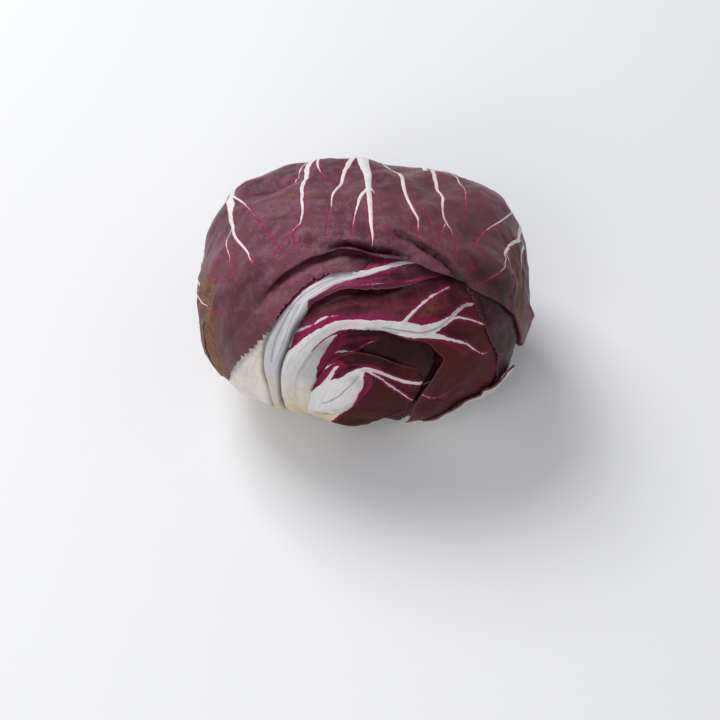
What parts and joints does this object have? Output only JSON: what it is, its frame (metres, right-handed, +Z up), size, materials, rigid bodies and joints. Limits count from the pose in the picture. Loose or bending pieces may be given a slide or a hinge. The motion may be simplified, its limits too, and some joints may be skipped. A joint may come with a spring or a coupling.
{
  "type": "radicchio head",
  "caption": "Radicchio head: a short cut stem with burgundy, white-ribbed leaves wrapped around a tight nest of inner leaves.",
  "frame": {"origin": "middle of the cut stem face that the head stands on, which is the middle of the head's footprint", "axes": "+Z up out of the stem through the crown, +X along the head's longest side, -Y towards the front where the petioles rise and the leaves part"},
  "size_m": [0.1244, 0.098, 0.0931],
  "materials": {
    "burgundy_blade": "waxy, soft sheen",
    "white_petiole": "smooth, moist",
    "nest_blade": "waxy, soft sheen",
    "stem_flesh": "cut, drying, brown at the edge"
  },
  "bodies": {
    "root": {"stem_core": "stem_flesh", "wrapper_leaf": "burgundy_blade", "right_leaf": "burgundy_blade", "hood_leaf": "burgundy_blade", "front_leaf": "burgundy_blade", "long_rib_leaf": "white_petiole", "left_leaf": "white_petiole", "lower_front_leaf": "white_petiole", "lower_left_leaf": "white_petiole", "trimmed_leaf_stub": "white_petiole", "inner_leaf_01": "nest_blade", "inner_leaf_02": "nest_blade", "inner_leaf_03": "nest_blade", "inner_leaf_04": "nest_blade", "inner_leaf_05": "nest_blade", "inner_leaf_06": "nest_blade", "inner_leaf_07": "nest_blade", "inner_leaf_08": "nest_blade", "inner_leaf_09": "nest_blade", "inner_leaf_10": "nest_blade", "inner_leaf_11": "nest_blade", "heart_bud": "nest_blade"}
  },
  "joints": []
}
